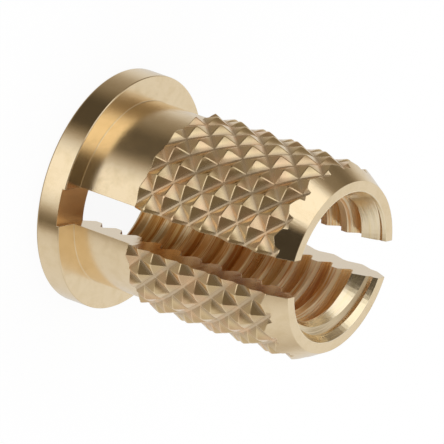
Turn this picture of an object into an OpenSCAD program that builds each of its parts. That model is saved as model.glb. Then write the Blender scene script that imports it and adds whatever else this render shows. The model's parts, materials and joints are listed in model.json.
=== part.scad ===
// Headed press-in threaded insert in brass, turned from one bar.
// It stands on its flange: the flange's outer face lies at z = 0 and the split
// tip points up along +Z. The slot runs along X.

/* [Thread] */
// Nominal diameter of the internal thread
thread_d = 5; // [4:0.5:7]
// Pitch of the internal thread
thread_pitch = 0.8; // [0.5:0.05:1.25]
// How much wider than the thread each countersunk mouth is
mouth_over = 0.12; // [0.02:0.02:0.3]
// Angle between the flange's countersink and the axis
flange_mouth_angle = 45; // [20:5:60]
// Angle between the tip's countersink and the axis
tip_mouth_angle = 30; // [20:5:60]

/* [Body] */
// Overall length, flange included
body_len = 9.3; // [7:0.1:14]
// Wall of the neck outside the thread's nominal diameter
neck_wall = 0.625; // [0.5:0.025:1.2]
// Wall of the tip's end face outside the thread's nominal diameter
tip_wall = 0.42; // [0.2:0.02:0.5]
// Angle between the tip's lead-in taper and the axis
lead_angle = 30; // [20:1:45]

/* [Flange] */
// How far the flange stands out beyond the neck
flange_ledge = 0.85; // [0.4:0.05:2]
// Thickness of the flange
flange_t = 0.9; // [0.6:0.05:2]
// Edge break around the flange's outer face
face_edge = 0.06; // [0.02:0.01:0.2]
// Edge break around the flange's neck side
rim_edge = 0.03; // [0.01:0.01:0.1]
// Radius of the fillet between neck and flange
neck_fillet = 0.08; // [0.02:0.01:0.3]

/* [Knurl] */
// Clear length of neck between the flange and the knurl
neck_len = 2.25; // [1:0.05:4]
// Height of the knurl's points above the neck
knurl_rise = 0.275; // [0.15:0.025:0.5]
// Depth of the grooves below the points
knurl_depth = 0.2; // [0.1:0.01:0.26]
// Number of points in one ring around the insert
knurl_count = 18; // [12:1:30]
// Distance between points along the axis
knurl_pitch = 1.122; // [0.6:0.01:2]
// Distance from the knurl's start to its first groove crossing
knurl_shift = 0.45; // [0:0.05:0.6]
// Turn of the knurl about the axis, measured from the slot, in degrees
knurl_turn = -1.3; // [-10:0.1:10]

/* [Slot] */
// Width of the slot that splits the body
slot_w = 1.25; // [0.5:0.05:2]
// Sideways offset of the slot from the axis
slot_off = 0.07; // [-0.2:0.01:0.2]
// Depth of the slot's floor below the flange's neck side
slot_notch = 0.1; // [0.02:0.01:0.3]

/* [Hidden] */
$fn = 96;
brass = [0.85, 0.71, 0.44];
fillet_steps = 6;
// Overrun of every cutting shape past the faces it cuts
over = 1;

minor_d = thread_d - thread_pitch;
mouth_r = thread_d / 2 + mouth_over / 2;
neck_r = thread_d / 2 + neck_wall;
tip_r = thread_d / 2 + tip_wall;
flange_r = neck_r + flange_ledge;
knurl_r = neck_r + knurl_rise;
root_r = knurl_r - knurl_depth;

// The lattice of groove crossings starts two pitches early and ends past the tip,
// so both of its ends are trimmed off
knurl_z = flange_t + neck_len;
lattice_z = knurl_z + knurl_shift - 2 * knurl_pitch;
rows = 2 * knurl_count;
cols = ceil((body_len - lattice_z) / knurl_pitch) + 1;

// Place j along row k of the knurl's lattice, at radius r. Odd rows lie half a pitch on.
function on_lattice(k, j, r) =
    let (a = knurl_turn + k * 360 / rows)
    [r * cos(a), r * sin(a), lattice_z + (j + (k % 2) / 2) * knurl_pitch];

// Flange and neck as one turned profile
module turned_blank() {
    fillet = [for (i = [0:fillet_steps])
        let (a = 90 * i / fillet_steps)
        [neck_r + neck_fillet * (1 - sin(a)), flange_t + neck_fillet * (1 - cos(a))]];
    rotate_extrude()
        polygon(concat(
            [[0, 0], [flange_r - face_edge, 0], [flange_r, face_edge],
             [flange_r, flange_t - rim_edge], [flange_r - rim_edge, flange_t]],
            fillet,
            [[neck_r, body_len], [0, body_len]]));
}

// Closed shape with a raised diamond point in every cell between the crossed grooves
module knurl_points() {
    crossings = [for (k = [0:rows - 1]) for (j = [0:cols]) on_lattice(k, j, root_r)];
    points = [for (k = [0:rows - 1]) for (j = [0:cols - 1]) on_lattice(k, j + 0.5, knurl_r)];
    ends = [[0, 0, lattice_z - knurl_pitch], [0, 0, lattice_z + (cols + 2) * knurl_pitch]];
    first_point = len(crossings);
    first_end = first_point + len(points);
    function crossing(k, j) = ((k + rows) % rows) * (cols + 1) + j;
    cells = [for (k = [0:rows - 1]) for (j = [0:cols - 1])
        let (
            low = crossing(k, j),
            high = crossing(k, j + 1),
            left = crossing(k - 1, j + k % 2),
            right = crossing(k + 1, j + k % 2),
            point = first_point + k * cols + j
        )
        for (face = [[low, left, point], [left, high, point],
                     [high, right, point], [right, low, point]]) face];
    caps = [for (k = [0:rows - 1])
        for (face = [[crossing(k, 0), crossing(k + 1, 0), first_end],
                     [crossing(k + 1, cols), crossing(k, cols), first_end + 1]]) face];
    polyhedron(points = concat(crossings, points, ends), faces = concat(cells, caps));
}

// The knurl, trimmed to run from the neck to the tip's end face
module knurl_band() {
    intersection() {
        knurl_points();
        translate([0, 0, knurl_z])
            cylinder(r = knurl_r + over, h = body_len - knurl_z);
    }
}

// Lead-in taper cut on the outside of the tip
module taper_cut() {
    outer_r = knurl_r + over;
    rotate_extrude()
        polygon([[tip_r - over * tan(lead_angle), body_len + over],
                 [outer_r, body_len - (outer_r - tip_r) / tan(lead_angle)],
                 [outer_r, body_len + over]]);
}

// Bore at the thread's minor diameter, countersunk at both mouths
module threaded_bore() {
    translate([0, 0, -over])
        cylinder(d = minor_d, h = body_len + 2 * over);
    mouth_cut(flange_mouth_angle);
    translate([0, 0, body_len])
        mirror([0, 0, 1])
            mouth_cut(tip_mouth_angle);
}

// Countersink that opens downwards through z = 0, as a cone to a point on the axis
module mouth_cut(angle) {
    wide_r = mouth_r + over * tan(angle);
    translate([0, 0, -over])
        cylinder(r1 = wide_r, r2 = 0, h = wide_r / tan(angle));
}

// Saw slot through both walls, from the tip down into the flange's neck side
module slot_cut() {
    outer_r = flange_r + over;
    translate([-outer_r, slot_off - slot_w / 2, flange_t - slot_notch])
        cube([2 * outer_r, slot_w, body_len]);
}

module insert() {
    color(brass)
        difference() {
            union() {
                turned_blank();
                knurl_band();
            }
            taper_cut();
            threaded_bore();
            slot_cut();
        }
}

insert();
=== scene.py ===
import json
import math
import bmesh
import bpy
from mathutils import Matrix, Vector


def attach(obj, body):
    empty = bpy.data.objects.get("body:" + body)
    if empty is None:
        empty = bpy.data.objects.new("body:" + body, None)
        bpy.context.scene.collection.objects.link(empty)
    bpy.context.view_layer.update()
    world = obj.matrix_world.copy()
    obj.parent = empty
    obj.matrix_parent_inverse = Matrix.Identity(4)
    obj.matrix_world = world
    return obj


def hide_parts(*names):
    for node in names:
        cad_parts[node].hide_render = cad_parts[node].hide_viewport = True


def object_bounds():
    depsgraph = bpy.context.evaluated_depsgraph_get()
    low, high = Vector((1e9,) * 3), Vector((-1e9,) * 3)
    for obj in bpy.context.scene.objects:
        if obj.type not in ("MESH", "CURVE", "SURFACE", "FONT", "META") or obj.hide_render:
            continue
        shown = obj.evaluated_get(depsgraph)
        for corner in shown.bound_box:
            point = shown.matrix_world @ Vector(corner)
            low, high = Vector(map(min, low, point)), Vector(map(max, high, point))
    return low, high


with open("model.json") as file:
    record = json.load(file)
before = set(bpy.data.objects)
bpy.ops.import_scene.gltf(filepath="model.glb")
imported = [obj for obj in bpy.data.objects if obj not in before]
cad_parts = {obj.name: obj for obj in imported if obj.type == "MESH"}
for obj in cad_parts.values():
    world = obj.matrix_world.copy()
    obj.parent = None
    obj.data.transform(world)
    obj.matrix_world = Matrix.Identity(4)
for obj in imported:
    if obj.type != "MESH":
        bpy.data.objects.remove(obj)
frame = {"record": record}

# Brass threaded insert that stands on its flange, with the split tip up.
# Meshes are made in millimetres about the thread's axis, and scaled to metres once finished.

millimetre = 0.001
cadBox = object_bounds()
mounts = {mount["name"]: mount for mount in frame["record"]["mounts"]}
collection = bpy.context.scene.collection

# What the lathe leaves, before the knurl, the thread and the saw cut
blank = {
    "length": cadBox[1].z / millimetre,
    "flangeRadius": (cadBox[1].x - cadBox[0].x) / 2 / millimetre,
    "flangeThickness": mounts["flange_seat"]["pos_m"][2] / millimetre,
    "neckRadius": 3.125,
    "neckFillet": 0.02,
    "faceEdge": 0.07,  # rounding round the flange's outer face
    "rimEdge": 0.035,  # rounding round its neck side
    "tipRadius": 2.92,
    "leadAngle": 30,  # of the tip's taper to the axis, in degrees
    "mouthRadius": 2.56,  # of the countersinks
    "mouthAngles": (45, 30),  # of the countersinks at the flange and at the tip, to the axis
    "facets": 180,
}

# Crossed grooves that leave raised diamond points
knurl = {
    "pointRadius": mounts["knurled_shank"]["dims"]["r_mm"],
    "length": mounts["knurled_shank"]["dims"]["length_mm"],
    "depth": 0.2,
    "pointsAround": 18,
    "pitch": 1.122,  # from point to point along the axis
    "firstCrossing": 0.45,  # from the knurl's start
    "turn": -1.3,  # about the axis from the slot, in degrees
    "grooveFlats": (0.045, 0.01),  # half of each groove's flat bottom, as a share of a diamond's side
    "ridgeFlat": 0.06,  # how much each ridge is blunted, in the same measure
    "rings": (1, 0.76, 0.52, 0.3, 0.12),  # reach of each point's rings of faces
    "bulge": 1.15,  # power of reach that height follows, so that faces curve like a shell
    "sideSteps": 3,
    "unevenness": 0.012,  # how far corners stray from the pattern, in millimetres
    "unevenScale": 2.5,  # swells of that in a millimetre
    "weld": 0.001,  # corners this near are one, in millimetres
}

# Internal thread, cut by a ridge that follows a helix
thread = {
    "boreRadius": mounts["thread"]["dims"]["r_mm"],
    "outerRadius": 2.5,
    "pitch": 0.8,
    "rootFlat": 0.1,
    "flankAngle": 30,
    "start": 0.72,  # height of a groove's middle in line with the slot
    "overlap": 0.12,  # how far the cutting ridge reaches into the open bore
    "stepsPerTurn": 96,
}

# Saw cut through both walls
slot = {
    "width": 1.25,
    "offset": 0.07,
    "notch": 0.1,  # depth below the flange's neck side
}


def makeObject(name, mesh):
    made = bpy.data.objects.new(name, mesh)
    collection.objects.link(made)
    return made


def meshFromWork(name, work):
    # closed mesh with its faces turned outwards
    bmesh.ops.recalc_face_normals(work, faces=work.faces)
    mesh = bpy.data.meshes.new(name)
    work.to_mesh(mesh)
    work.free()
    return makeObject(name, mesh)


def arcPoints(centre, radius, startAngle, endAngle, steps=9):
    # round corner of an outline, as (radius, height) points, with a short straight run at both ends
    angles = [math.radians(startAngle + (endAngle - startAngle) * k / steps) for k in range(steps + 1)]
    points = [(centre[0] + radius * math.cos(a), centre[1] + radius * math.sin(a)) for a in angles]
    turning = math.copysign(radius * 0.4, endAngle - startAngle)
    for k, a in ((0, angles[0]), (-1, angles[-1])):
        back = turning if k else -turning
        run = (points[k][0] - math.sin(a) * back, points[k][1] + math.cos(a) * back)
        points = [run] + points if k == 0 else points + [run]
    return points


def turn(name, outline, facets):
    # solid turned from an outline that starts and ends on the axis
    work = bmesh.new()
    rings = []
    for radius, height in outline:
        count = facets if radius > 0 else 1
        angles = [2 * math.pi * k / facets for k in range(count)]
        rings.append([work.verts.new((radius * math.cos(a), radius * math.sin(a), height)) for a in angles])
    for lower, upper in zip(rings, rings[1:]):
        for k in range(facets):
            corners = [ring[j % len(ring)] for ring, j in
                       ((lower, k), (lower, (k + 1) % facets), (upper, (k + 1) % facets), (upper, k))]
            work.faces.new(list(dict.fromkeys(corners)))
    return meshFromWork(name, work)


def newTree(name, sizes):
    # geometry tree with one named input for each size
    tree = bpy.data.node_groups.new(name, "GeometryNodeTree")
    tree.interface.new_socket("Mesh", in_out="INPUT", socket_type="NodeSocketGeometry")
    for size, value in sizes.items():
        kind = "NodeSocketInt" if isinstance(value, int) else "NodeSocketFloat"
        tree.interface.new_socket(size, in_out="INPUT", socket_type=kind)
    tree.interface.new_socket("Material", in_out="INPUT", socket_type="NodeSocketMaterial")
    tree.interface.new_socket("Mesh", in_out="OUTPUT", socket_type="NodeSocketGeometry")
    return tree, tree.nodes.new("NodeGroupInput"), tree.nodes.new("NodeGroupOutput")


def addNode(tree, kind, inputs, **settings):
    # node with its settings made and its inputs linked or given, each by name or number
    node = tree.nodes.new(kind)
    for key, value in settings.items():
        setattr(node, key, value)
    for key, value in inputs.items():
        socket = node.inputs[key] if isinstance(key, int) else findSocket(node.inputs, key)
        if isinstance(value, bpy.types.NodeSocket):
            tree.links.new(value, socket)
        else:
            socket.default_value = value
    return node


def findSocket(sockets, name):
    # some nodes have a socket of the same name for each kind of data, with one of them in use
    return next(socket for socket in sockets if socket.name == name and socket.enabled)


def calculate(tree, operation, *values):
    return addNode(tree, "ShaderNodeMath", dict(enumerate(values)), operation=operation).outputs[0]


def runTree(made, tree, sizes, material):
    # sets the modifier's inputs by identifier, then keeps its result as a plain mesh
    modifier = made.modifiers.new(tree.name, "NODES")
    modifier.node_group = tree
    given = dict(sizes, Material=material)
    for item in tree.interface.items_tree:
        if item.in_out == "INPUT" and item.name in given:
            modifier[item.identifier] = given[item.name]
    keepResult(made)
    turnOutwards(made)


def keepResult(made):
    evaluated = made.evaluated_get(bpy.context.evaluated_depsgraph_get())
    result = bpy.data.meshes.new_from_object(evaluated)
    result.name = made.name
    made.modifiers.clear()
    made.data = result


def turnOutwards(made):
    work = bmesh.new()
    work.from_mesh(made.data)
    bmesh.ops.recalc_face_normals(work, faces=work.faces)
    work.to_mesh(made.data)
    work.free()


def combine(made, tool, operation):
    # joins, cuts or trims one solid by another, which is used up
    modifier = made.modifiers.new(operation, "BOOLEAN")
    modifier.operation = operation
    modifier.solver = "MANIFOLD"
    modifier.object = tool
    keepResult(made)
    bpy.data.objects.remove(tool)


def finishMesh(made):
    # flat triangles are made before the scale, while their sides are still far from rounding errors
    work = bmesh.new()
    work.from_mesh(made.data)
    bmesh.ops.triangulate(work, faces=work.faces)
    bmesh.ops.scale(work, vec=(millimetre,) * 3, verts=work.verts)
    work.to_mesh(made.data)
    work.free()
    made.data.shade_smooth()
    made.data.set_sharp_from_angle(angle=math.radians(finish["sharpAngle"]))


def blankOutline():
    p = blank
    neckTop = p["flangeThickness"] + p["neckFillet"]
    return ([(0, 0)]
            + arcPoints((p["flangeRadius"] - p["faceEdge"], p["faceEdge"]), p["faceEdge"], -90, 0)
            + arcPoints((p["flangeRadius"] - p["rimEdge"], p["flangeThickness"] - p["rimEdge"]),
                        p["rimEdge"], 0, 90)
            + arcPoints((p["neckRadius"] + p["neckFillet"], neckTop), p["neckFillet"], -90, -180)
            + [(p["neckRadius"], p["length"] + 1), (0, p["length"] + 1)])


def bandOutline():
    # room for the knurl, which ends square at the neck
    wide = knurl["pointRadius"] + 1
    start = blank["length"] - knurl["length"]
    return [(0, start), (wide, start), (wide, blank["length"] + 1), (0, blank["length"] + 1)]


def taperOutline():
    # everything inside the lead-in taper at the tip
    p = blank
    wide = p["flangeRadius"] + 1
    shoulder = p["length"] - (wide - p["tipRadius"]) / math.tan(math.radians(p["leadAngle"]))
    return [(0, -1), (wide, -1), (wide, shoulder), (p["tipRadius"], p["length"]), (0, p["length"])]


def boreOutline():
    # bore with a countersink at each mouth, both drawn on a millimetre past the end
    p = blank
    bore = thread["boreRadius"]
    flange, tip = (math.tan(math.radians(angle)) for angle in p["mouthAngles"])
    return [(0, -1), (p["mouthRadius"] + flange, -1), (bore, (p["mouthRadius"] - bore) / flange),
            (bore, p["length"] - (p["mouthRadius"] - bore) / tip),
            (p["mouthRadius"] + tip, p["length"] + 1), (0, p["length"] + 1)]


def sawCut():
    floor = blank["flangeThickness"] - slot["notch"]
    reach = blank["flangeRadius"] + 1
    work = bmesh.new()
    bmesh.ops.create_cube(work, size=1)
    for corner in work.verts:
        corner.co = (corner.co.x * 2 * reach, corner.co.y * slot["width"] + slot["offset"],
                     floor if corner.co.z < 0 else blank["length"] + 1)
    return meshFromWork("sawCut", work)


def diamondTile():
    # one diamond a unit wide and a unit long, with its point nearly a unit high
    p = knurl
    work = bmesh.new()
    steps = p["sideSteps"]

    def ringOf(reachA, reachB, height, cornerCut):
        corners = [Vector((reachA, reachB)), Vector((-reachA, reachB)),
                   Vector((-reachA, -reachB)), Vector((reachA, -reachB))]
        points = []
        for k in range(4):
            start, end = corners[k], corners[(k + 1) % 4]
            along = (end - start).normalized() * min(cornerCut / 2, (end - start).length / 4)
            for step in range(steps + (1 if cornerCut else 0)):
                a, b = (start + along).lerp(end - along, step / steps)
                points.append(work.verts.new(((a + b) / 2, (a - b) / 2, height)))
        return points

    flatA, flatB = p["grooveFlats"]
    outer = ringOf(0.5, 0.5, 0, 0)
    rings = [ringOf((0.5 - flatA) * reach, (0.5 - flatB) * reach, 1 - reach ** p["bulge"], p["ridgeFlat"])
             for reach in p["rings"]]
    base = rings[0]
    for k in range(4):
        for step in range(steps):
            o, b = k * steps + step, k * (steps + 1) + step
            work.faces.new((outer[o], outer[(o + 1) % len(outer)], base[b + 1], base[b]))
        b, after = k * (steps + 1) + steps, ((k + 1) * (steps + 1)) % len(base)
        work.faces.new((outer[((k + 1) * steps) % len(outer)], base[after], base[b]))
    for lower, upper in zip(rings, rings[1:]):
        for k in range(len(lower)):
            after = (k + 1) % len(lower)
            work.faces.new((lower[k], lower[after], upper[after], upper[k]))
    point = work.verts.new((0, 0, 1 - (p["rings"][-1] / 2) ** p["bulge"]))
    top = rings[-1]
    for k in range(len(top)):
        work.faces.new((top[k], top[(k + 1) % len(top)], point))
    mesh = bpy.data.meshes.new("diamondTile")
    work.to_mesh(mesh)
    work.free()
    return makeObject("diamondTile", mesh)


def knurlTree(sizes):
    tree, given, result = newTree("diamondKnurl", sizes)
    size = given.outputs
    grids = []
    for shift in (0, 0.5):
        grid = addNode(tree, "GeometryNodeMeshGrid",
                       {"Vertices X": size["Points Around"], "Vertices Y": size["Rings"],
                        "Size X": calculate(tree, "SUBTRACT", size["Points Around"], 1.0),
                        "Size Y": calculate(tree, "SUBTRACT", size["Rings"], 1.0)})
        place = addNode(tree, "ShaderNodeCombineXYZ", {
            "X": calculate(tree, "MULTIPLY_ADD", size["Points Around"], 0.5, shift - 0.5),
            "Y": calculate(tree, "MULTIPLY_ADD", size["Rings"], 0.5, shift)})
        moved = addNode(tree, "GeometryNodeTransform",
                        {"Geometry": grid.outputs["Mesh"], "Translation": place.outputs[0]})
        grids.append(moved.outputs[0])
    lattice = tree.nodes.new("GeometryNodeJoinGeometry")
    for grid in grids:
        tree.links.new(grid, lattice.inputs[0])
    tiles = addNode(tree, "GeometryNodeInstanceOnPoints",
                    {"Points": lattice.outputs[0], "Instance": size["Mesh"]})
    sheet = addNode(tree, "GeometryNodeRealizeInstances", {"Geometry": tiles.outputs[0]})

    # Wrap the flat sheet round the axis
    place = addNode(tree, "ShaderNodeSeparateXYZ",
                    {0: tree.nodes.new("GeometryNodeInputPosition").outputs[0]})
    fullTurn = calculate(tree, "DIVIDE", 2 * math.pi, size["Points Around"])
    angle = calculate(tree, "MULTIPLY_ADD", place.outputs["X"], fullTurn, size["Turn"])
    radius = calculate(tree, "MULTIPLY_ADD", place.outputs["Z"], size["Depth"], size["Root Radius"])
    height = calculate(tree, "MULTIPLY_ADD", place.outputs["Y"], size["Pitch"], size["Start"])
    around = addNode(tree, "ShaderNodeCombineXYZ", {
        "X": calculate(tree, "MULTIPLY", radius, calculate(tree, "COSINE", angle)),
        "Y": calculate(tree, "MULTIPLY", radius, calculate(tree, "SINE", angle)), "Z": height})
    wrapped = addNode(tree, "GeometryNodeSetPosition",
                      {"Geometry": sheet.outputs[0], "Position": around.outputs[0]})
    welded = addNode(tree, "GeometryNodeMergeByDistance",
                     {"Geometry": wrapped.outputs[0], "Distance": knurl["weld"]})

    # Small unevenness, as a worn knurling wheel leaves it
    noise = addNode(tree, "ShaderNodeTexNoise", {"Scale": knurl["unevenScale"], "Detail": 1.0})
    centred = addNode(tree, "ShaderNodeVectorMath", {0: noise.outputs["Color"], 1: (0.5, 0.5, 0.5)},
                      operation="SUBTRACT")
    stray = addNode(tree, "ShaderNodeVectorMath", {0: centred.outputs[0], "Scale": size["Unevenness"]},
                    operation="SCALE")
    uneven = addNode(tree, "GeometryNodeSetPosition",
                     {"Geometry": welded.outputs[0], "Offset": stray.outputs[0]})

    # Close both ends with a cone of faces to the axis
    neighbours = tree.nodes.new("GeometryNodeInputMeshEdgeNeighbors")
    openEdge = addNode(tree, "FunctionNodeCompare", {2: neighbours.outputs[0], 3: 1},
                       data_type="INT", operation="EQUAL")
    drawn = addNode(tree, "GeometryNodeExtrudeMesh",
                    {"Mesh": uneven.outputs[0], "Selection": openEdge.outputs[0], "Offset Scale": 0.0},
                    mode="EDGES")
    upper = addNode(tree, "FunctionNodeCompare",
                    {0: place.outputs["Z"],
                     1: calculate(tree, "MULTIPLY_ADD", size["Pitch"], 2.0, size["Start"])},
                    operation="GREATER_THAN")
    endHeight = addNode(tree, "GeometryNodeSwitch",
                        {"Switch": upper.outputs[0],
                         "False": calculate(tree, "SUBTRACT", size["Start"], size["Pitch"]),
                         "True": calculate(tree, "MULTIPLY_ADD", size["Pitch"],
                                      calculate(tree, "ADD", size["Rings"], 2.0), size["Start"])},
                        input_type="FLOAT")
    end = addNode(tree, "ShaderNodeCombineXYZ", {"Z": endHeight.outputs[0]})
    closed = addNode(tree, "GeometryNodeSetPosition",
                     {"Geometry": drawn.outputs["Mesh"], "Selection": drawn.outputs["Top"],
                      "Position": end.outputs[0]})
    solid = addNode(tree, "GeometryNodeMergeByDistance",
                    {"Geometry": closed.outputs[0], "Distance": 0.0001})
    realized = addNode(tree, "GeometryNodeRealizeInstances", {"Geometry": solid.outputs[0]})
    finished = addNode(tree, "GeometryNodeSetMaterial",
                       {"Geometry": realized.outputs[0], "Material": size["Material"]})
    tree.links.new(finished.outputs[0], result.inputs[0])
    return tree


def knurledSolid(material):
    p = knurl
    start = blank["length"] - p["length"] + p["firstCrossing"] - 2 * p["pitch"]
    sizes = {
        "Points Around": p["pointsAround"],
        "Rings": math.ceil((blank["length"] - start) / p["pitch"]) + 1,
        "Pitch": p["pitch"],
        "Root Radius": p["pointRadius"] - p["depth"],
        "Depth": p["depth"],
        "Start": start,
        "Turn": math.radians(p["turn"]),
        "Unevenness": p["unevenness"],
    }
    solid = diamondTile()
    solid.name = "knurledSolid"
    runTree(solid, knurlTree(sizes), sizes, material)
    return solid


def threadTree(sizes):
    tree, given, result = newTree("helicalThread", sizes)
    size = given.outputs
    path = addNode(tree, "GeometryNodeCurveSpiral",
                   {"Resolution": size["Steps Per Turn"], "Rotations": size["Turns"],
                    "Start Radius": size["Radius"], "End Radius": size["Radius"],
                    "Height": calculate(tree, "MULTIPLY", size["Turns"], size["Pitch"]), "Reverse": True})
    upright = addNode(tree, "GeometryNodeSetCurveNormal", {"Curve": path.outputs[0]}, mode="Z_UP")
    section = addNode(tree, "GeometryNodeMeshToCurve", {"Mesh": size["Mesh"]})
    ridge = addNode(tree, "GeometryNodeCurveToMesh",
                    {"Curve": upright.outputs[0], "Profile Curve": section.outputs[0], "Fill Caps": True})
    placed = addNode(tree, "GeometryNodeTransform",
                     {"Geometry": ridge.outputs[0],
                      "Translation": addNode(tree, "ShaderNodeCombineXYZ", {"Z": size["Start"]}).outputs[0]})
    realized = addNode(tree, "GeometryNodeRealizeInstances", {"Geometry": placed.outputs[0]})
    finished = addNode(tree, "GeometryNodeSetMaterial",
                       {"Geometry": realized.outputs[0], "Material": size["Material"]})
    tree.links.new(finished.outputs[0], result.inputs[0])
    return tree


def threadRidge(material):
    # ridge that cuts the groove of the thread, with its section across the path
    p = thread
    inside = p["boreRadius"] - p["overlap"]
    spread = (p["outerRadius"] - inside) * math.tan(math.radians(p["flankAngle"]))
    halfRoot = p["rootFlat"] / 2
    section = [(0, halfRoot), (0, -halfRoot), (1, -halfRoot - spread), (1, halfRoot + spread)]
    work = bmesh.new()
    corners = [work.verts.new((depth * (inside - p["outerRadius"]), across, 0)) for depth, across in section]
    for k in range(4):
        work.edges.new((corners[k], corners[(k + 1) % 4]))
    mesh = bpy.data.meshes.new("threadRidge")
    work.to_mesh(mesh)
    work.free()
    ridge = makeObject("threadRidge", mesh)
    turns = math.ceil(blank["length"] / p["pitch"]) + 3
    sizes = {
        "Radius": p["outerRadius"],
        "Pitch": p["pitch"],
        "Turns": float(turns),
        "Start": p["start"] - 2 * p["pitch"],
        "Steps Per Turn": p["stepsPerTurn"],
    }
    runTree(ridge, threadTree(sizes), sizes, material)
    return ridge


# Brass as it comes off the lathe: fine marks round the axis, duller at the neck, in the bore, along the
# knurl's grooves and where the saw went, with painted shade in the grooves, deep in the bore and on the sawn
# wall at +X, and painted highlights on the crests and streaks near the tip. Heights and lengths are in
# millimetres.
finish = {
    "colour": (0.93, 0.755, 0.50),
    "bloomColour": (0.88, 0.70, 0.44),
    "roughness": 0.12,
    "bloomRoughness": 0.05,  # what the bloom adds
    "bloomScale": 2.2,  # blotches in a millimetre
    "bloomRange": (0.45, 0.7),  # share of the noise's height over which a blotch grows
    "tarnishColour": (0.91, 0.655, 0.41),  # in patches on the knurl
    "tarnishScale": 1.3,
    "tarnishRange": (0.46, 0.62),
    "marksAcross": 26,  # turning marks in a millimetre
    "marksAround": 1.2,  # how often a mark changes along its length
    "marksHeight": 0.0009,
    "streaksAcross": 9,  # coarser marks in a millimetre of the bore
    "streaksAround": 0.7,
    "streakHeight": 0.01,
    "streakTones": [  # shares of the streaks' height between which a tone grows, its zone and its colour
        # painted light: the pale tone is a painted highlight along the streaks inside, the dark ones painted
        # shade in the bore and deeper down; the streaks' bumps are real
        ((0.49, 0.37), "Bore", (0.80, 0.46, 0.19)),
        ((0.47, 0.63), "Inside", (1.0, 0.85, 0.57)),
        ((0.56, 0.46), "Deep Bore", (0.70, 0.44, 0.20)),
    ],
    "sawMarks": 9,  # lines in a millimetre, along the saw's travel
    "sawHeight": 0.004,
    "sawStretch": 0.08,  # how much a line is drawn out along the saw's travel
    "grainScale": 14,  # grains in a millimetre
    "grainHeight": 0.0006,
    "edgeRadius": 0.03,
    "sharpAngle": 12,  # in degrees, above which an edge is shaded as sharp
    "zones": {  # what each worked zone adds to the roughness, and its colour
        "Neck": (0.09, None),
        "Knurl": (0, (0.89, 0.70, 0.42)),
        # painted shade: the grooves' darker colour stands for the shade in them; their added roughness is
        # real
        "Groove": (0.3, (0.74, 0.59, 0.40)),
        "Wall": (-0.03, (0.90, 0.76, 0.56)),
        # painted shade: the sawn wall on the +X side is coloured dark brown for the dark bore it reflects,
        # not a stain of its own
        "Painted Shade Wall": (0.03, (0.56, 0.35, 0.14)),
        "Floor": (0.28, (0.80, 0.49, 0.21)),
        "Bore": (0.09, (1.0, 0.73, 0.39)),
        # painted shade: darker colour deep in the bore, away from the tip, where less light reaches
        "Deep Bore": (0.1, (0.82, 0.56, 0.28)),
        # painted highlight: paler crests near the tip, for the pale reflections they catch there; their
        # roughness is real
        "Crest": (0.12, (1.0, 0.83, 0.58)),
        "Mouth": (0.09, (1.0, 0.86, 0.62)),
    },
    "grooveRise": 0.08,  # how far up the grooves their zone reaches
    "crestRise": 0.15,
    "paintedShadeStart": 3.3,  # height above which the sawn wall on the +X side gets painted shade, dark brown for the dark bore it reflects
    "threadDullness": 0.2,  # how much of the thread's gloss is lost to a dull film
    "paintedMouthLight": (3, 6),  # heights between which the bore's painted shade fades out towards the tip, and its crests take a painted highlight and more roughness
    "margins": {"Mouth": 0.02, "Taper": 0.015, "Saw": 0.004},  # from a surface to its zone's limit
}


def shaderTree(name, inputs, outputs):
    # group with named inputs and outputs, each given as its kind of socket
    tree = bpy.data.node_groups.new(name, "ShaderNodeTree")
    for direction, sockets in (("INPUT", inputs), ("OUTPUT", outputs)):
        for socket, kind in sockets.items():
            tree.interface.new_socket(socket, in_out=direction, socket_type="NodeSocket" + kind)
    return tree, tree.nodes.new("NodeGroupInput"), tree.nodes.new("NodeGroupOutput")


def turningMarks():
    # height of fine marks that run round the axis, on straight and on flat turned faces
    tree, given, result = shaderTree(
        "turningMarks", {"Position": "Vector", "Across": "Float", "Around": "Float"}, {"Height": "Float"})
    place = addNode(tree, "ShaderNodeSeparateXYZ", {0: given.outputs["Position"]})
    flat = addNode(tree, "ShaderNodeCombineXYZ", {"X": place.outputs["X"], "Y": place.outputs["Y"]})
    radius = addNode(tree, "ShaderNodeVectorMath", {0: flat.outputs[0]}, operation="LENGTH").outputs["Value"]
    direction = addNode(tree, "ShaderNodeVectorMath", {0: flat.outputs[0]}, operation="NORMALIZE")
    swung = addNode(tree, "ShaderNodeVectorMath", {0: direction.outputs[0], "Scale": given.outputs["Around"]},
                    operation="SCALE")
    along = calculate(tree, "ADD", radius, place.outputs["Z"])
    lift = addNode(tree, "ShaderNodeCombineXYZ",
                   {"Z": calculate(tree, "MULTIPLY", along, given.outputs["Across"])})
    where = addNode(tree, "ShaderNodeVectorMath", {0: swung.outputs[0], 1: lift.outputs[0]}, operation="ADD")
    marks = addNode(tree, "ShaderNodeTexNoise", {"Vector": where.outputs[0], "Scale": 1.0, "Detail": 3.0,
                                                 "Roughness": 0.65})
    tree.links.new(marks.outputs["Fac"], result.inputs["Height"])
    return tree


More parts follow.
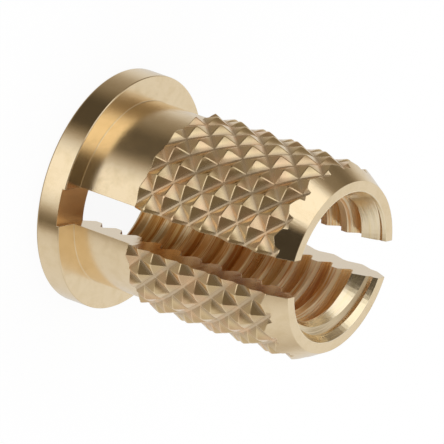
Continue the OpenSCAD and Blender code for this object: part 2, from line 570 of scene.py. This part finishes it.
def workedZones():
    # masks of the neck, the knurl and its grooves, the slot's walls with the painted shade on the one at +X,
    # its floor, the bore with its deep end (painted shade) and its thread's crests (painted highlight near
    # the tip), the tip's mouth and all that is inside
    names = ["Neck Start", "Knurl Start", "Root Radius", "Groove Rise", "Tip Radius", "Tip Height",
             "Taper Slope", "Slot Middle", "Slot Half", "Slot Floor", "Bore Radius", "Crest Rise",
             "Thread Radius", "Mouth Start", "Painted Shade Start", "Mouth Light From", "Mouth Light To"]
    tree, given, result = shaderTree(
        "workedZones", {"Position": "Vector", **{name: "Float" for name in names}},
        {zone: "Float" for zone in [*finish["zones"], "Inside"]})
    size = given.outputs
    margins = finish["margins"]

    def above(a, b):
        return calculate(tree, "GREATER_THAN", a, b)

    def both(a, b):
        return calculate(tree, "MULTIPLY", a, b)

    def without(mask):
        return calculate(tree, "SUBTRACT", 1.0, mask)

    place = addNode(tree, "ShaderNodeSeparateXYZ", {0: size["Position"]})
    flat = addNode(tree, "ShaderNodeCombineXYZ", {"X": place.outputs["X"], "Y": place.outputs["Y"]})
    radius = addNode(tree, "ShaderNodeVectorMath", {0: flat.outputs[0]}, operation="LENGTH").outputs["Value"]
    height = place.outputs["Z"]
    inside = above(calculate(tree, "ADD", size["Thread Radius"], margins["Mouth"]), radius)
    threaded = both(inside, above(size["Mouth Start"], height))
    pastNeck = above(height, size["Knurl Start"])
    onNeck = both(above(height, size["Neck Start"]), without(pastNeck))
    low = addNode(tree, "ShaderNodeMapRange", {
        "Value": radius, "From Min": calculate(tree, "ADD", size["Root Radius"], size["Groove Rise"]),
        "From Max": size["Root Radius"]})
    down = calculate(tree, "SUBTRACT", size["Tip Height"], height)
    taper = calculate(tree, "MULTIPLY_ADD", down, size["Taper Slope"], size["Tip Radius"])
    underTaper = both(above(taper, calculate(tree, "ADD", radius, margins["Taper"])),
                      above(down, margins["Taper"]))
    aside = calculate(tree, "ABSOLUTE", calculate(tree, "SUBTRACT", place.outputs["Y"], size["Slot Middle"]))
    sawn = both(above(calculate(tree, "ADD", size["Slot Half"], margins["Saw"]), aside),
                above(height, calculate(tree, "SUBTRACT", size["Slot Floor"], margins["Saw"])))
    onWall = above(height, calculate(tree, "ADD", size["Slot Floor"], margins["Saw"]))
    onCrest = above(calculate(tree, "ADD", size["Bore Radius"], size["Crest Rise"]), radius)
    unsawn = without(sawn)
    # 0 deep in the bore and 1 near the tip: where painted shade gives way to painted highlight
    mouthLit = addNode(tree, "ShaderNodeMapRange", {"Value": height, "From Min": size["Mouth Light From"],
                                                 "From Max": size["Mouth Light To"]}).outputs[0]
    onKnurl = both(both(pastNeck, underTaper), both(without(inside), unsawn))
    onSawnWall = both(sawn, onWall)
    # painted shade on the sawn wall on the +X side, above its start height
    paintedShade = both(above(place.outputs["X"], 0.0), above(height, size["Painted Shade Start"]))
    masks = {
        "Inside": both(inside, unsawn),
        "Neck": both(both(onNeck, without(inside)), unsawn),
        "Knurl": onKnurl,
        # painted shade in the knurl's grooves
        "Groove": both(low.outputs[0], onKnurl),
        "Wall": onSawnWall,
        "Painted Shade Wall": both(onSawnWall, paintedShade),
        "Floor": both(sawn, without(onWall)),
        "Bore": both(threaded, unsawn),
        # painted shade deep in the bore
        "Deep Bore": both(both(threaded, unsawn), without(mouthLit)),
        # painted highlight on the crests near the tip
        "Crest": both(both(both(threaded, onCrest), unsawn), mouthLit),
        "Mouth": both(both(inside, without(threaded)), unsawn),
    }
    for zone, mask in masks.items():
        tree.links.new(mask, result.inputs[zone])
    return tree


def turnedBrass():
    p = finish
    material = bpy.data.materials.new("turnedBrass")
    material.use_nodes = True
    tree = material.node_tree
    shader = tree.nodes["Principled BSDF"]
    where = addNode(tree, "ShaderNodeMapping", {
        "Vector": tree.nodes.new("ShaderNodeTexCoord").outputs["Object"], "Scale": (1 / millimetre,) * 3})
    marksTree = turningMarks()
    marks, streaks = (addNode(tree, "ShaderNodeGroup", {
        "Position": where.outputs[0], "Across": float(p[kind + "Across"]), "Around": p[kind + "Around"]},
        node_tree=marksTree) for kind in ("marks", "streaks"))
    tipAngle = math.radians(blank["mouthAngles"][1])
    mouthStart = blank["length"] - (blank["mouthRadius"] - thread["boreRadius"]) / math.tan(tipAngle)
    zones = addNode(tree, "ShaderNodeGroup", {
        "Position": where.outputs[0], "Neck Start": blank["flangeThickness"],
        "Knurl Start": blank["length"] - knurl["length"],
        "Root Radius": knurl["pointRadius"] - knurl["depth"], "Groove Rise": p["grooveRise"],
        "Tip Radius": blank["tipRadius"], "Tip Height": blank["length"],
        "Taper Slope": math.tan(math.radians(blank["leadAngle"])), "Slot Middle": slot["offset"],
        "Slot Half": slot["width"] / 2, "Slot Floor": blank["flangeThickness"] - slot["notch"],
        "Bore Radius": thread["boreRadius"], "Crest Rise": p["crestRise"],
        "Thread Radius": blank["mouthRadius"], "Mouth Start": mouthStart, "Painted Shade Start": p["paintedShadeStart"],
        "Mouth Light From": float(p["paintedMouthLight"][0]), "Mouth Light To": float(p["paintedMouthLight"][1])},
        node_tree=workedZones())
    cloud = addNode(tree, "ShaderNodeTexNoise", {"Vector": where.outputs[0], "Scale": p["bloomScale"],
                                                 "Detail": 4.0, "Roughness": 0.6})
    bloom = addNode(tree, "ShaderNodeMapRange", {
        "Value": cloud.outputs["Fac"], "From Min": p["bloomRange"][0], "From Max": p["bloomRange"][1]})
    colour = (*p["colour"], 1)
    rough = p["roughness"]
    worked = [(bloom.outputs[0], p["bloomRoughness"], p["bloomColour"])]
    worked += [(zones.outputs[zone], *look) for zone, look in p["zones"].items()]
    patches = addNode(tree, "ShaderNodeTexNoise", {"Vector": where.outputs[0], "Scale": p["tarnishScale"],
                                                   "Detail": 2.0})
    tarnish = addNode(tree, "ShaderNodeMapRange", {
        "Value": patches.outputs["Fac"], "From Min": p["tarnishRange"][0], "From Max": p["tarnishRange"][1]})
    worked.append((calculate(tree, "MULTIPLY", tarnish.outputs[0], zones.outputs["Knurl"]), 0,
                   p["tarnishColour"]))
    # painted highlight and painted shade along the streaks, on top of their real bumps
    for (low, high), zone, shade in p["streakTones"]:
        toned = addNode(tree, "ShaderNodeMapRange", {"Value": streaks.outputs["Height"], "From Min": low,
                                                     "From Max": high})
        worked.append((calculate(tree, "MULTIPLY", toned.outputs[0], zones.outputs[zone]), 0, shade))
    for mask, added, shade in worked:
        rough = calculate(tree, "MULTIPLY_ADD", mask, added, rough)
        if shade:
            mixed = addNode(tree, "ShaderNodeMix", {"Factor": mask, "A": colour, "B": (*shade, 1)},
                            data_type="RGBA")
            colour = findSocket(mixed.outputs, "Result")
    streaked = calculate(tree, "MULTIPLY", streaks.outputs["Height"], zones.outputs["Inside"])
    sawn = calculate(tree, "ADD", zones.outputs["Wall"], zones.outputs["Floor"])
    lines = addNode(tree, "ShaderNodeTexNoise", {
        "Vector": addNode(tree, "ShaderNodeVectorMath", {0: where.outputs[0], 1: (p["sawStretch"], 1, 1)},
                          operation="MULTIPLY").outputs[0],
        "Scale": float(p["sawMarks"]), "Detail": 3.0, "Roughness": 0.6})
    cutLines = calculate(tree, "MULTIPLY", lines.outputs["Fac"], sawn)
    rounded = addNode(tree, "ShaderNodeBevel", {"Radius": p["edgeRadius"] * millimetre}, samples=6)
    sharp = addNode(tree, "ShaderNodeMix", {
        "Factor": calculate(tree, "MAXIMUM", sawn, zones.outputs["Inside"]), "A": rounded.outputs[0],
        "B": tree.nodes.new("ShaderNodeNewGeometry").outputs["Normal"]}, data_type="VECTOR")
    grain = addNode(tree, "ShaderNodeTexNoise", {"Vector": where.outputs[0], "Scale": float(p["grainScale"]),
                                                 "Detail": 3.0, "Roughness": 0.6})
    normal = findSocket(sharp.outputs, "Result")
    for height, distance in ((marks.outputs["Height"], p["marksHeight"]), (streaked, p["streakHeight"]),
                             (cutLines, p["sawHeight"]), (grain.outputs["Fac"], p["grainHeight"])):
        bump = addNode(tree, "ShaderNodeBump", {"Height": height, "Strength": 1.0,
                                                "Distance": distance * millimetre, "Normal": normal})
        normal = bump.outputs[0]
    tree.links.new(colour, shader.inputs["Base Color"])
    tree.links.new(rough, shader.inputs["Roughness"])
    dull = calculate(tree, "SUBTRACT", zones.outputs["Bore"], zones.outputs["Deep Bore"])
    metal = calculate(tree, "MULTIPLY_ADD", dull, -p["threadDullness"], 1.0)
    tree.links.new(metal, shader.inputs["Metallic"])
    tree.links.new(normal, shader.inputs["Normal"])
    return material


brass = turnedBrass()

print("turning the blank")
insertBody = turn("insertBody", blankOutline(), blank["facets"])

print("knurling", knurl["pointsAround"], "points around")
band = knurledSolid(brass)
combine(band, turn("bandRoom", bandOutline(), 4 * knurl["pointsAround"]), "INTERSECT")
combine(insertBody, band, "UNION")
combine(insertBody, turn("tipTaper", taperOutline(), blank["facets"]), "INTERSECT")

print("cutting the thread and the slot")
combine(insertBody, turn("bore", boreOutline(), thread["stepsPerTurn"]), "DIFFERENCE")
combine(insertBody, threadRidge(brass), "DIFFERENCE")
combine(insertBody, sawCut(), "DIFFERENCE")

insertBody.data.materials.clear()
insertBody.data.materials.append(brass)
finishMesh(insertBody)

# Long lens, turned about its own axis so that the part lies on its side
camera = {
    "azimuth": -17.42,
    "elevation": 30.6,
    "roll": 109.65,
    "distance": 436,
    "lens": 1087,
    "aim": (-0.036, -0.085, 4.537),
}


def cameraFor(p):
    azimuth, elevation = math.radians(p["azimuth"]), math.radians(p["elevation"])
    back = Vector((math.cos(elevation) * math.cos(azimuth),
                   math.cos(elevation) * math.sin(azimuth), math.sin(elevation)))
    made = bpy.data.objects.new("camera", bpy.data.cameras.new("camera"))
    collection.objects.link(made)
    made.data.lens = p["lens"]
    place = (Vector(p["aim"]) + back * p["distance"]) * millimetre
    made.matrix_world = (Matrix.Translation(place) @ back.to_track_quat("Z", "Y").to_matrix().to_4x4()
                         @ Matrix.Rotation(math.radians(p["roll"]), 4, "Z"))
    bpy.context.scene.camera = made
    return made


cameraFor(camera)

# White studio with soft lamps and dark cards, each at an azimuth and elevation seen from the part
studio = {
    "plain": 0.45,
    "darkTint": (0.81, 0.57),  # green and blue to red in the dark, which fade to white in the light
    "tintRange": (0.15, 0.75),  # levels between which they fade
    "cards": [
        {"at": (134, 0), "size": (88, 60), "soft": 20, "level": 0.72},
        {"at": (90, -5), "size": (32, 9), "soft": 12, "level": 0.52},
        {"at": (0, -90), "size": (38, 38), "soft": 14, "level": 0.38},
        {"at": (-82, -66), "size": (40, 10), "soft": 12, "level": 0.27},
        {"at": (168, 12), "size": (24, 34), "soft": 14, "level": 0.76},
        {"at": (-10, 68), "size": (34, 20), "soft": 12, "level": 0.3},
        {"at": (-85, -31), "size": (44, 14), "soft": 26, "level": 0.2},
        {"at": (-78, -31), "size": (22, 10), "soft": 12, "level": 0.07},
        {"at": (-75, 30), "size": (28, 26), "soft": 10, "level": 1.1},
        {"at": (-136, 16), "size": (20, 24), "soft": 16, "level": 0.15},
        {"at": (-114, 2), "size": (12, 16), "soft": 10, "level": 0.22},
        {"at": (0, 5), "size": (44, 13), "soft": 8, "level": 0.16},
        {"at": (33, -31), "size": (9, 9), "soft": 6, "level": 0.15},
        {"at": (-13, -32), "size": (27, 16), "soft": 17, "level": 1.03},
        {"at": (-8, 34), "size": (34, 15), "soft": 8, "level": 0.045},
    ],
}


def studioCard():
    # mask of one card with soft edges, which faces the part from its azimuth and elevation
    tree, given, result = shaderTree("studioCard", {
        "Direction": "Vector", "Azimuth": "Float", "Elevation": "Float", "Half Width": "Float",
        "Half Height": "Float", "Softness": "Float"}, {"Mask": "Float"})
    size = given.outputs
    swung = addNode(tree, "ShaderNodeVectorRotate", {
        "Vector": size["Direction"], "Angle": calculate(tree, "MULTIPLY", size["Azimuth"], -1.0)},
        rotation_type="Z_AXIS")
    level = addNode(tree, "ShaderNodeVectorRotate", {"Vector": swung.outputs[0], "Angle": size["Elevation"]},
                    rotation_type="Y_AXIS")
    local = addNode(tree, "ShaderNodeSeparateXYZ", {0: level.outputs[0]})
    across = calculate(tree, "ABSOLUTE", calculate(tree, "ARCTAN2", local.outputs["Y"], local.outputs["X"]))
    up = calculate(tree, "ABSOLUTE", calculate(tree, "ARCSINE", local.outputs["Z"]))
    parts = []
    for angle, half in ((across, size["Half Width"]), (up, size["Half Height"])):
        edge = addNode(tree, "ShaderNodeMapRange", {
            "Value": angle, "From Min": calculate(tree, "ADD", half, size["Softness"]),
            "From Max": calculate(tree, "SUBTRACT", half, size["Softness"])}, interpolation_type="SMOOTHSTEP")
        parts.append(edge.outputs[0])
    tree.links.new(calculate(tree, "MULTIPLY", *parts), result.inputs["Mask"])
    return tree


def whiteStudio():
    # the part reflects the lamps and cards, and the camera sees plain white
    world = bpy.data.worlds.new("whiteStudio")
    world.use_nodes = True
    bpy.context.scene.world = world
    tree = world.node_tree
    direction = tree.nodes.new("ShaderNodeTexCoord").outputs["Generated"]
    group = studioCard()
    level = studio["plain"]
    for card in studio["cards"]:
        azimuth, elevation = (math.radians(angle) for angle in card["at"])
        width, height = (math.radians(angle) for angle in card["size"])
        mask = addNode(tree, "ShaderNodeGroup", {
            "Direction": direction, "Azimuth": azimuth, "Elevation": elevation, "Half Width": width,
            "Half Height": height, "Softness": math.radians(card["soft"])}, node_tree=group)
        lit = addNode(tree, "ShaderNodeMix", {"Factor": mask.outputs[0], "A": level, "B": card["level"]})
        level = lit.outputs[0]
    # what is dark in the studio is warmer than its lamps
    dark, light = studio["tintRange"]
    green, blue = (addNode(tree, "ShaderNodeMapRange", {"Value": level, "From Min": dark, "From Max": light,
                                                        "To Min": share}).outputs[0]
                   for share in studio["darkTint"])
    warm = addNode(tree, "ShaderNodeCombineColor", {
        "Red": level, "Green": calculate(tree, "MULTIPLY", level, green),
        "Blue": calculate(tree, "MULTIPLY", level, blue)})
    shown = addNode(tree, "ShaderNodeMix", {
        "Factor": tree.nodes.new("ShaderNodeLightPath").outputs["Is Glossy Ray"],
        "A": (1, 1, 1, 1), "B": warm.outputs[0]}, data_type="RGBA")
    tree.links.new(findSocket(shown.outputs, "Result"), tree.nodes["Background"].inputs["Color"])


whiteStudio()

# Pale floor, which shows white with the part's soft shadow
floor = {
    "size": 400,
    "drop": 0.01,  # below the flange, so that the two faces don't share a plane
    "glow": 0.92,
}


def paleFloor():
    work = bmesh.new()
    bmesh.ops.create_grid(work, size=floor["size"] / 2 * millimetre,
                          matrix=Matrix.Translation((0, 0, -floor["drop"] * millimetre)))
    mesh = bpy.data.meshes.new("paleFloor")
    work.to_mesh(mesh)
    work.free()
    made = makeObject("paleFloor", mesh)
    material = bpy.data.materials.new("paleFloor")
    material.use_nodes = True
    tree = material.node_tree
    paint = addNode(tree, "ShaderNodeBsdfDiffuse", {"Color": (1, 1, 1, 1)})
    glow = addNode(tree, "ShaderNodeEmission", {"Color": (1, 1, 1, 1), "Strength": 1.0})
    both = addNode(tree, "ShaderNodeMixShader", {0: floor["glow"], 1: paint.outputs[0], 2: glow.outputs[0]})
    tree.links.new(both.outputs[0], tree.nodes["Material Output"].inputs["Surface"])
    made.data.materials.append(material)
    made.visible_glossy = False


paleFloor()

bpy.context.scene.view_settings.view_transform = "Standard"

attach(insertBody, "root")
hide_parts("insert")
